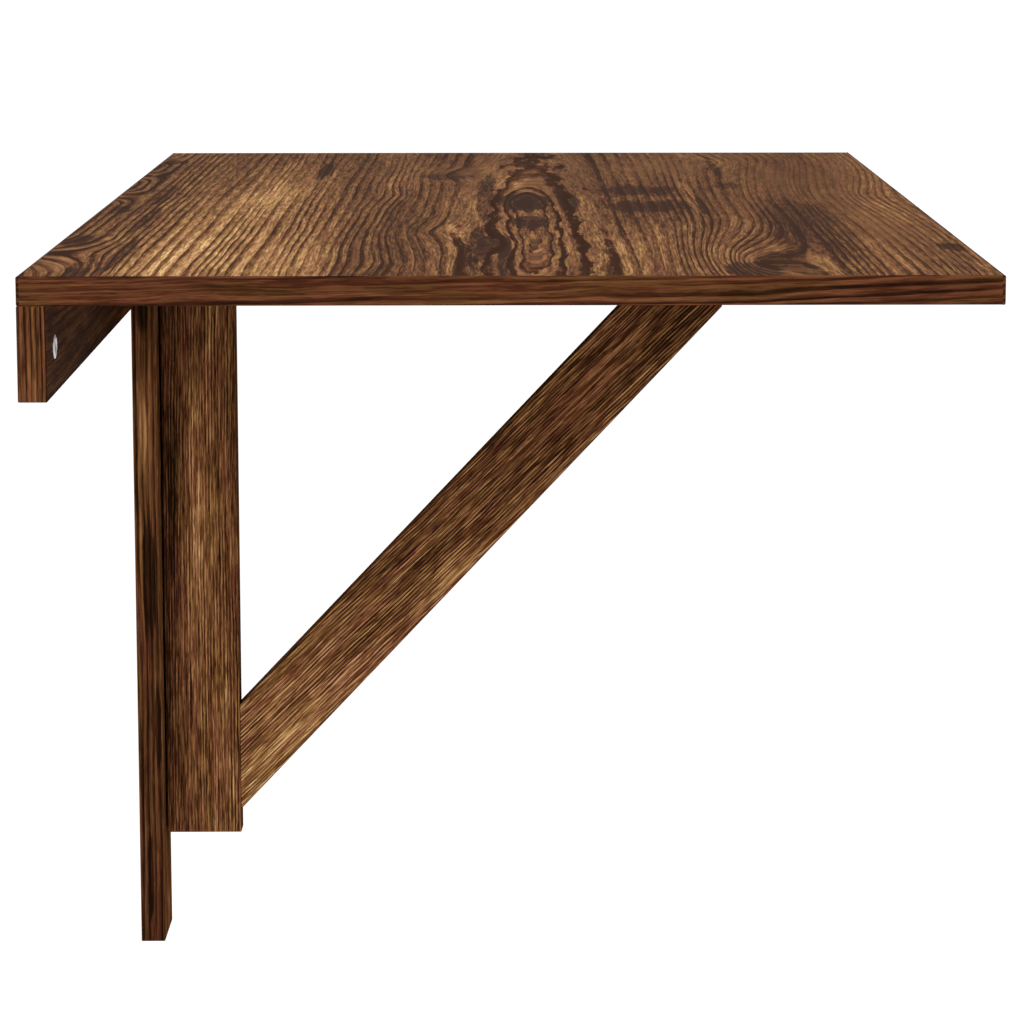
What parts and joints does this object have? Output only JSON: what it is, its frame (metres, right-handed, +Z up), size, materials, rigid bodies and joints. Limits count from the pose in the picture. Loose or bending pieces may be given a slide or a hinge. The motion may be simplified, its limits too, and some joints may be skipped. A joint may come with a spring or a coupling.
{
  "type": "wall-mounted folding table",
  "caption": "Wall-hung folding table of dark wood-grain board: a banded top on cranked hinges over a wall rail and post, carried by a triangular bracket that swings on butt hinges.",
  "frame": {"origin": "middle of the wall rail's back face, on the wall plane", "axes": "+X along the wall and the table's length, +Y out of the rail's back into the wall, +Z up; the room is on the -Y side"},
  "size_m": [1, 0.6, 0.56],
  "materials": {
    "laminate": "satin wood-grain laminate, smoked oak",
    "edge_band": "satin wood-grain edge banding",
    "dowel_wood": "plain beech dowel",
    "plastic": "moulded matt plastic",
    "washer_metal": "satin dome washer",
    "screw_steel": "zinc-plated steel",
    "hinge_steel": "zinc-plated pressed steel"
  },
  "bodies": {
    "wall_frame": {"post": "laminate", "post_leaf_screws": "screw_steel", "post_screws": "screw_steel", "rail_leaf_screws": "screw_steel", "stop_block": "plastic", "stop_screws": "screw_steel", "swing_hinge_lower_pin": "hinge_steel", "swing_hinge_lower_post_leaf": "hinge_steel", "swing_hinge_upper_pin": "hinge_steel", "swing_hinge_upper_post_leaf": "hinge_steel", "table_hinge_1_pin": "hinge_steel", "table_hinge_1_rail_leaf": "hinge_steel", "table_hinge_1_table_leaf": "hinge_steel", "table_hinge_2_pin": "hinge_steel", "table_hinge_2_rail_leaf": "hinge_steel", "table_hinge_2_table_leaf": "hinge_steel", "table_hinge_3_pin": "hinge_steel", "table_hinge_3_rail_leaf": "hinge_steel", "table_hinge_3_table_leaf": "hinge_steel", "table_hinge_4_pin": "hinge_steel", "table_hinge_4_rail_leaf": "hinge_steel", "table_hinge_4_table_leaf": "hinge_steel", "table_leaf_screws": "screw_steel", "tabletop_core": "laminate", "top_front_band": "edge_band", "top_left_band": "edge_band", "top_right_band": "edge_band", "top_wall_band": "edge_band", "wall_rail": "laminate", "wall_washers": "washer_metal"},
    "bracket": {"wing": "laminate", "arm": "laminate", "brace": "laminate", "bracket_dowels": "dowel_wood", "glide": "plastic", "glide_screws": "screw_steel", "swing_hinge_upper_wing_leaf": "hinge_steel", "swing_hinge_lower_wing_leaf": "hinge_steel", "wing_leaf_screws": "screw_steel"}
  },
  "joints": [
    {"name": "bracket_swing", "type": "hinge", "parent": "wall_frame", "child": "bracket", "pos_m": [0.0121, -0.0391, 0], "axis": [0, 0, 1], "range_deg": [0, 90]}
  ]
}
